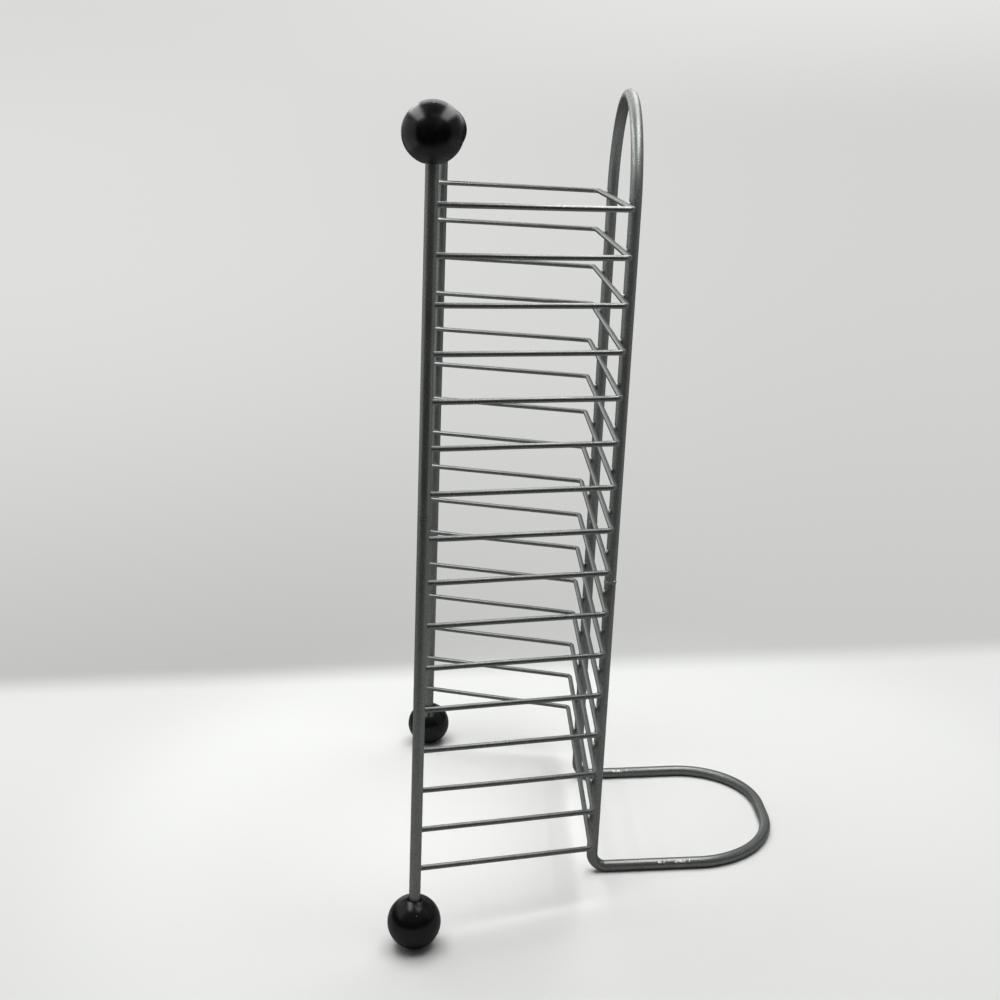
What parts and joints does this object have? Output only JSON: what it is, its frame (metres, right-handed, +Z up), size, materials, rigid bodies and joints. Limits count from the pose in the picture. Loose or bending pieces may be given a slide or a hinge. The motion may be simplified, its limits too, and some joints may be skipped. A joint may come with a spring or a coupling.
{
  "type": "dvd rack",
  "caption": "Leaning tower rack for disc cases: bent wire shelves welded to front posts and to a bent rod back frame with a floor loop, on ball feet, with ball finials.",
  "frame": {"origin": "on the floor, at the middle of the footprint's bounding box", "axes": "+Z up, -Y towards the open front where cases go in, +X to the right when looking in from the front"},
  "size_m": [0.2284, 0.1965, 0.3753],
  "materials": {
    "rod_silver": "satin silver-grey metallic paint on steel rod",
    "wire_silver": "satin silver-grey metallic paint on steel wire",
    "ball_black": "high gloss black"
  },
  "bodies": {
    "root": {"front_post_left": "rod_silver", "front_post_right": "rod_silver", "foot_ball_left": "ball_black", "foot_ball_right": "ball_black", "finial_ball_left": "ball_black", "finial_ball_right": "ball_black", "wire_shelf_01": "wire_silver", "wire_shelf_02": "wire_silver", "wire_shelf_03": "wire_silver", "wire_shelf_04": "wire_silver", "wire_shelf_05": "wire_silver", "wire_shelf_06": "wire_silver", "wire_shelf_07": "wire_silver", "wire_shelf_08": "wire_silver", "wire_shelf_09": "wire_silver", "wire_shelf_10": "wire_silver", "wire_shelf_11": "wire_silver", "wire_shelf_12": "wire_silver", "wire_shelf_13": "wire_silver", "wire_shelf_14": "wire_silver", "wire_shelf_15": "wire_silver", "wire_shelf_16": "wire_silver", "back_arch": "rod_silver", "base_frame": "rod_silver", "joint_band_left": "rod_silver", "joint_band_right": "rod_silver"}
  },
  "joints": []
}
